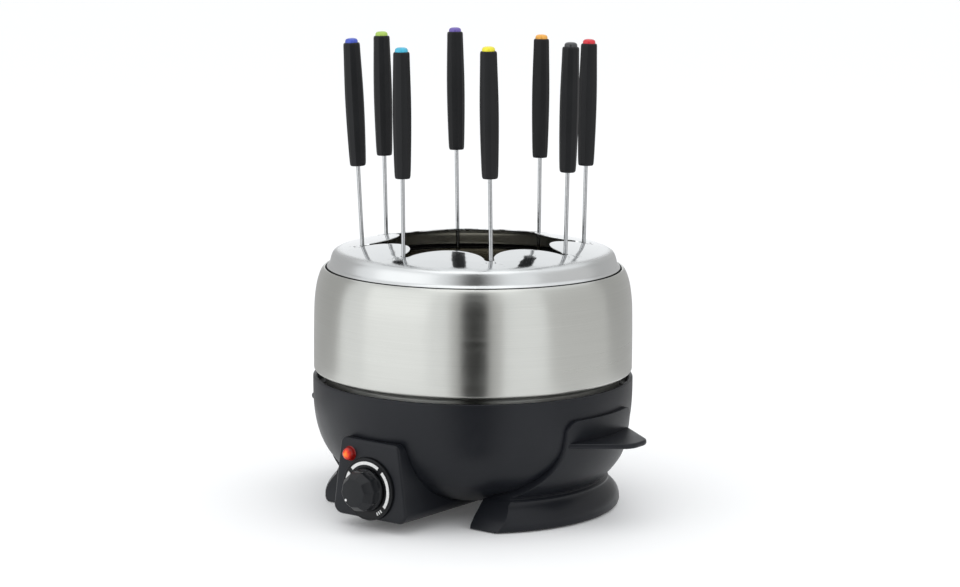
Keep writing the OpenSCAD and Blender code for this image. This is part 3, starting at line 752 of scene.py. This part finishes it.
def build_ring():
    """The fork ring: brim, round crest and eight petals that rise towards the middle."""
    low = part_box("fork_ring")[0].z / MM
    brim = smooth_line([(94.9, low), (94.95, low + 0.7), (94.9, low + SEAM_H), (94.3, low + 2.0),
                        (93.6, low + 2.6), (93.1, low + 3.4), (92.8, low + 4.6), (92.4, low + 6.4),
                        (91.7, low + 8.7), (90.6, low + 10.6), (88.6, low + 11.9), (CREST_R, low + 12.7)], 3)
    deck = [(50.0, 172.0), (64.0, 170.2), (NOTCH_R, 168.7), (81.0, 167.3), (CREST_R, brim[-1].y)]
    half = petal_edge()
    petal = [*[(-a, r) for a, r in half[:0:-1]], *half]
    edge = [(a + TAU * (k + 0.5) / 8, r) for k in range(8) for a, r in petal[:-1]]
    bm = bmesh.new()
    rows = []
    # columns stand evenly round the crest and close in on the notches across the deck
    even = [edge[0][0] + TAU * k / len(edge) for k in range(len(edge))]
    for p in brim:
        rows.append([bm.verts.new((p.x * MM * math.cos(a), p.x * MM * math.sin(a), p.y * MM)) for a in even])
    steps = 16
    for i in range(1, steps + 1):
        row = []
        for (at_edge, rim), at_crest in zip(edge, even):
            a = at_crest + (at_edge - at_crest) * i / steps
            r = CREST_R + (rim - CREST_R) * i / steps
            z = lerp_table(deck, r)
            row.append(bm.verts.new((r * MM * math.cos(a), r * MM * math.sin(a), z * MM)))
        rows.append(row)
    grid_faces(bm, rows, wrap_columns=True)
    ring = make_object("ring", bm, 60)
    skin = ring.modifiers.new("sheet", "SOLIDIFY")
    skin.thickness = 0.9 * MM
    skin.offset = -1
    applied(ring)
    rounded(ring, 0.22, 2, 60)
    finish_piece(ring, "ring", RING_STEEL, "ring_steel", "fork_ring")
    ring.data.materials.append(SEAM_PAINTED_SHADOW)
    # faces of the ring's foot get the near-black slot: painted shadow in the seam
    for face in ring.data.polygons:
        if face.center.z < (low + SEAM_H) * MM:
            face.material_index = 1


# ------------------------------------------------------------------ forks

def fork_matrix(name):
    """Frame of a fork: its origin at the handle's lower end and +Z along its shaft."""
    handle, cap = f"fork_{name}_handle", f"fork_{name}_cap"
    along = (centre(cap) - centre(handle)).normalized()
    outward = Vector((centre(handle).x, centre(handle).y, 0)).normalized()
    side = along.cross(outward).normalized()
    start = centre(handle) - along * (size(handle).z / 2 / along.z)
    matrix = Matrix((side.cross(along), side, along)).transposed().to_4x4()
    matrix.translation = start
    return matrix


HANDLE_LINE = [(0, 0), (4.1, 0), (4.7, 0.25), (5.0, 0.9), (5.2, 2.4), (5.42, 7), (5.62, 14), (5.86, 24),
               (6.0, 34), (6.03, 43), (5.93, 52), (5.72, 61), (5.48, 70), (5.36, 75), (5.3, 77.2),
               (5.1, 78.2), (4.6, 78.65)]
HANDLE_FLATS = 10


def build_fork(name):
    """A fork's moulded handle with long flats, and its bright cap. The steel is the CAD node."""
    matrix = fork_matrix(name)
    outline = [*smooth_line(HANDLE_LINE, 4), Vector((4.1, 78.7)), Vector((0, 78.7))]
    handle = lathe(f"{name}_handle", outline, HANDLE_FLATS, closed=False, matrix=matrix, sharp=50)
    rounded(handle, 0.7, 3, 25)
    finish_piece(handle, f"fork_{name}", HANDLE_PLASTIC, "handle_plastic", f"fork_{name}_handle")
    cap_line = [(3.9, 78.5), (4.05, 78.75), (4.05, 79.5), (3.9, 80.2), (3.45, 80.9), (2.7, 81.35),
                (1.5, 81.6), (0, 81.68)]
    cap = lathe(f"{name}_cap", smooth_line(cap_line, 3), 40, closed=False, matrix=matrix, sharp=60)
    finish_piece(cap, f"fork_{name}", MATERIALS[f"cap_{name}"], f"cap_{name}", f"fork_{name}_cap")


# ------------------------------------------------------------------ stage, light and camera

VIEW_TURN = math.radians(37)
VIEW_DISTANCE = 16.5 * 0.104
VIEW_HEIGHT = 0.4187
VIEW_PITCH = math.radians(9.34)
VIEW_ROLL = math.radians(0.336)


def build_camera():
    lens = bpy.data.cameras.new("camera")
    lens.lens = 100.53
    lens.sensor_width = 36
    lens.shift_x = 0.0069
    lens.clip_start = 0.05
    camera = bpy.data.objects.new("camera", lens)
    camera.location = (VIEW_DISTANCE * math.sin(VIEW_TURN), -VIEW_DISTANCE * math.cos(VIEW_TURN), VIEW_HEIGHT)
    camera.matrix_world = (
        Matrix.Translation(camera.location) @ Matrix.Rotation(VIEW_TURN, 4, "Z")
        @ Matrix.Rotation(math.pi / 2 - VIEW_PITCH, 4, "X") @ Matrix.Rotation(VIEW_ROLL, 4, "Z"))
    bpy.context.collection.objects.link(camera)
    bpy.context.scene.camera = camera


def softbox(name, turn, height, distance, width, tall, power):
    """A soft light that faces the pot from a direction, in degrees round from -Y towards +X."""
    light = bpy.data.lights.new(name, "AREA")
    light.shape = "RECTANGLE"
    light.size, light.size_y, light.energy = width, tall, power
    lamp = bpy.data.objects.new(name, light)
    a = math.radians(turn)
    lamp.location = (distance * math.sin(a), -distance * math.cos(a), height)
    aim = Vector((0, 0, 0.12)) - lamp.location
    lamp.rotation_euler = aim.to_track_quat("-Z", "Y").to_euler()
    bpy.context.collection.objects.link(lamp)


def card(name, turn, reach, widths, tall, shade, above_floor=0.002):
    """A card seen only as a reflection in the metal: a floor strip that stands up at its far end.

    reach holds the near and far distance from the pot's axis, widths the strip's width at each.
    """
    (near, far), (narrow, wide) = reach, widths
    outline = [(-narrow / 2, -near, above_floor), (narrow / 2, -near, above_floor),
               (wide / 2, -far, above_floor),
               (-wide / 2, -far, above_floor), (wide / 2, -far, tall), (-wide / 2, -far, tall)]
    mesh = bpy.data.meshes.new(name)
    mesh.from_pydata(outline, [], [(0, 1, 2, 3), (3, 2, 4, 5)])
    board = bpy.data.objects.new(name, mesh)
    board.rotation_euler = (0, 0, math.radians(turn))
    bpy.context.collection.objects.link(board)
    s = Shader(name, Base_Color=(0, 0, 0, 1), Roughness=1.0, Specular_IOR_Level=0.0,
               Emission_Color=(1, 1, 1, 1), Emission_Strength=shade)
    mesh.materials.append(s.material)
    board.visible_camera = board.visible_diffuse = False
    board.visible_shadow = board.visible_transmission = False


def build_stage():
    floor_mesh = bpy.data.meshes.new("floor")
    reach = 30.0
    floor_mesh.from_pydata(
        [(-reach, -reach, 0), (reach, -reach, 0), (reach, reach, 0), (-reach, reach, 0)], [], [(0, 1, 2, 3)])
    floor = bpy.data.objects.new("floor", floor_mesh)
    bpy.context.collection.objects.link(floor)
    s = Shader("floor", Base_Color=(0.93, 0.93, 0.93, 1), Roughness=0.9, Specular_IOR_Level=0.1,
               Emission_Color=(1, 1, 1, 1), Emission_Strength=0.05)
    floor_mesh.materials.append(s.material)
    world = bpy.data.worlds.new("studio")
    bpy.context.scene.world = world
    world.use_nodes = True
    studio = world.node_tree.nodes["Background"]
    studio.inputs["Color"].default_value = (0.97, 0.985, 1, 1)
    studio.inputs["Strength"].default_value = 1.04
    softbox("left_box", -20, 0.5, 1.7, 1.6, 1.6, 3.4)
    softbox("right_box", 92, 0.5, 1.7, 1.6, 1.6, 0.6)
    softbox("top_box", 37, 2.0, 0.3, 1.8, 1.8, 6)
    card("front_flag", 38.0, (0.15, 0.62), (0.030, 0.20), 1.1, 0.0)
    card("front_shade", 39.0, (0.16, 0.70), (0.06, 0.46), 1.1, 0.62, 0.001)
    card("right_shade", 117, (0.3, 1.0), (0.3, 1.1), 0.9, 0.70, 0.001)
    card("left_flag", 37 - 135, (0.3, 1.0), (0.3, 1.2), 0.9, 0.52)
    card("right_flag", 37 + 135, (0.3, 1.0), (0.3, 1.2), 0.9, 0.52)
    bpy.context.scene.view_settings.view_transform = "Standard"


build_camera()
dress_cad_nodes()
build_bowl()
build_housing()
build_dial()
build_knob()
build_feet()
build_pot()
build_ring()
for fork_name in FORK_NAMES:
    build_fork(fork_name)
build_stage()
